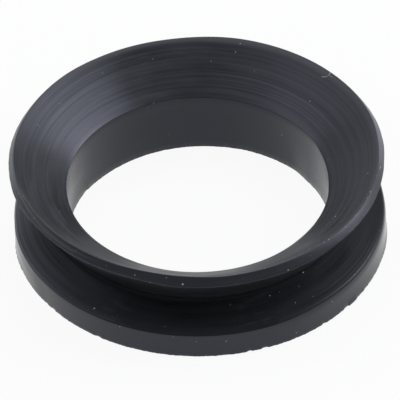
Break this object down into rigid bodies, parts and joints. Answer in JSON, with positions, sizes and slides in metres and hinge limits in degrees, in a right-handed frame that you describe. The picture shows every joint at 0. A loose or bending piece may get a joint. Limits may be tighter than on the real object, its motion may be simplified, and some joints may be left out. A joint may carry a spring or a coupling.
{
  "type": "v-ring seal",
  "caption": "Moulded rubber V-ring seal: a thick body that grips a shaft, a thin hinge in an outer V groove, and a conical lip that runs on a flat counterface.",
  "frame": {"origin": "centre of the flat back face, on the shaft's axis", "axes": "+Z along the shaft, from the back face towards the lip; X and Y lie in the back face and are equivalent"},
  "size_m": [0.02, 0.02, 0.0054],
  "materials": {
    "rubber": "satin moulded black nitrile"
  },
  "bodies": {
    "root": {"v_ring": "rubber"}
  },
  "joints": []
}
